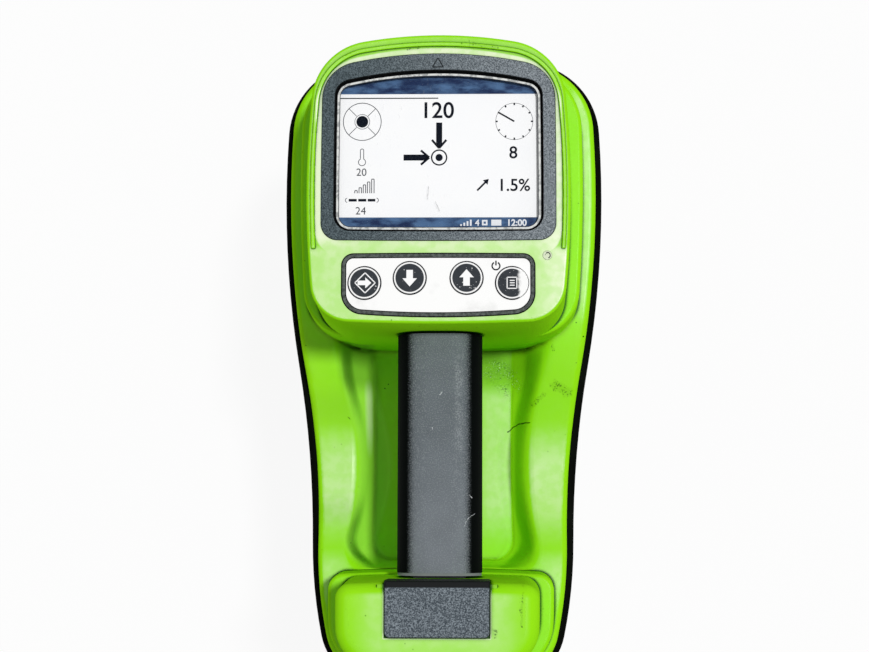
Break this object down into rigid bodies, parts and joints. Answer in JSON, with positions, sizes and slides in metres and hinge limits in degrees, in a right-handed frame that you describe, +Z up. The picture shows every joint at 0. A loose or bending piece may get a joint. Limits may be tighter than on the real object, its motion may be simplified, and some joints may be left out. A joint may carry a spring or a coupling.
{
  "type": "walkover locator",
  "caption": "Hand-carried walkover locator: lime case on a deep black tub, two towers joined by a bar grip over a hand well, top display, round keys, rubber rim and a rear battery door.",
  "frame": {"origin": "on the ground under the middle of the case, between the feet", "axes": "+Z up, +Y towards the display end, +X to the user's right as they look along +Y"},
  "size_m": [0.1468, 0.292, 0.302],
  "materials": {
    "shell_plastic": "moulded, satin, bright lime green",
    "case_plastic": "moulded, fine texture, black",
    "bumper_rubber": "matt black moulded rubber",
    "foot_rubber": "matt black moulded rubber",
    "grip_rubber": "satin black moulded grip, faint sheen",
    "collar_plastic": "pale grey moulded ring",
    "cap_rubber": "pebbled dark grey rubber",
    "bezel_plastic": "speckled dark grey",
    "window_glass": "clear, slightly scratched",
    "gasket_pale": "pale seal line",
    "lcd_panel": "pale display face",
    "keypad_edge": "black moulded border",
    "keypad_white": "white overlay",
    "key_rubber": "dark moulded keys, worn",
    "sensor_lens": "dark clear lens",
    "board_laminate": "green solder mask",
    "chip_epoxy": "black moulded packages",
    "steel": "zinc-plated screws",
    "core_aluminium": "extruded bar, black anodised",
    "dome_steel": "snap domes",
    "frame_plastic": "grey moulded carrier",
    "ferrite": "dark ceramic rod",
    "winding_copper": "enamelled copper wire",
    "pack_plastic": "black moulded pack",
    "contact_metal": "plated spring contacts",
    "lead_jacket": "red insulated lead",
    "seal_rubber": "soft black seal"
  },
  "bodies": {
    "case": {"upper_shell": "shell_plastic", "display_housing": "shell_plastic", "rear_housing": "shell_plastic", "rear_plinth": "shell_plastic", "housing_screws": "steel", "lower_case": "case_plastic", "edge_bumper": "bumper_rubber", "feet": "foot_rubber", "case_screws": "steel", "display_bezel": "bezel_plastic", "display_window": "window_glass", "window_gasket": "gasket_pale", "lcd_module": "lcd_panel", "keypad_frame": "keypad_edge", "keypad_panel": "keypad_white", "keypad_board": "board_laminate", "key_domes": "dome_steel", "light_sensor": "sensor_lens", "main_board": "board_laminate", "board_screws": "steel", "board_chips": "chip_epoxy", "board_header": "chip_epoxy", "beeper": "chip_epoxy", "telemetry_antenna": "board_laminate", "grip_sleeve": "grip_rubber", "grip_collar": "collar_plastic", "handle_core": "core_aluminium", "handle_bolts": "steel", "rear_cap": "cap_rubber", "antenna_frame": "frame_plastic", "lateral_rod": "ferrite", "lateral_winding": "winding_copper", "fore_aft_rod": "ferrite", "fore_aft_winding": "winding_copper", "vertical_rod": "ferrite", "vertical_winding": "winding_copper", "battery_box": "frame_plastic", "battery_pack": "pack_plastic", "battery_contacts": "contact_metal", "power_lead": "lead_jacket", "door_pin": "steel"},
    "key_enter": {"key_enter": "key_rubber"},
    "key_down": {"key_down": "key_rubber"},
    "key_up": {"key_up": "key_rubber"},
    "key_menu": {"key_menu": "key_rubber"},
    "door": {"battery_door": "case_plastic", "door_seal": "seal_rubber"},
    "knob": {"door_knob": "case_plastic"}
  },
  "joints": [
    {"name": "key_enter_press", "type": "slide", "parent": "case", "child": "key_enter", "axis": [0, 0, -1], "range_m": [0, 0.0007], "stiffness_N_per_m": 900},
    {"name": "key_down_press", "type": "slide", "parent": "case", "child": "key_down", "axis": [0, 0, -1], "range_m": [0, 0.0007], "stiffness_N_per_m": 900},
    {"name": "key_up_press", "type": "slide", "parent": "case", "child": "key_up", "axis": [0, 0, -1], "range_m": [0, 0.0007], "stiffness_N_per_m": 900},
    {"name": "key_menu_press", "type": "slide", "parent": "case", "child": "key_menu", "axis": [0, 0, -1], "range_m": [0, 0.0007], "stiffness_N_per_m": 900},
    {"name": "battery_door_hinge", "type": "hinge", "parent": "case", "child": "door", "pos_m": [0, -0.13619, 0.019], "axis": [1, 0, 0], "range_deg": [0, 95]},
    {"name": "door_knob_turn", "type": "hinge", "parent": "door", "child": "knob", "pos_m": [0, -0.13522, 0.092], "axis": [0, -1, 0], "range_deg": [0, 90]}
  ]
}
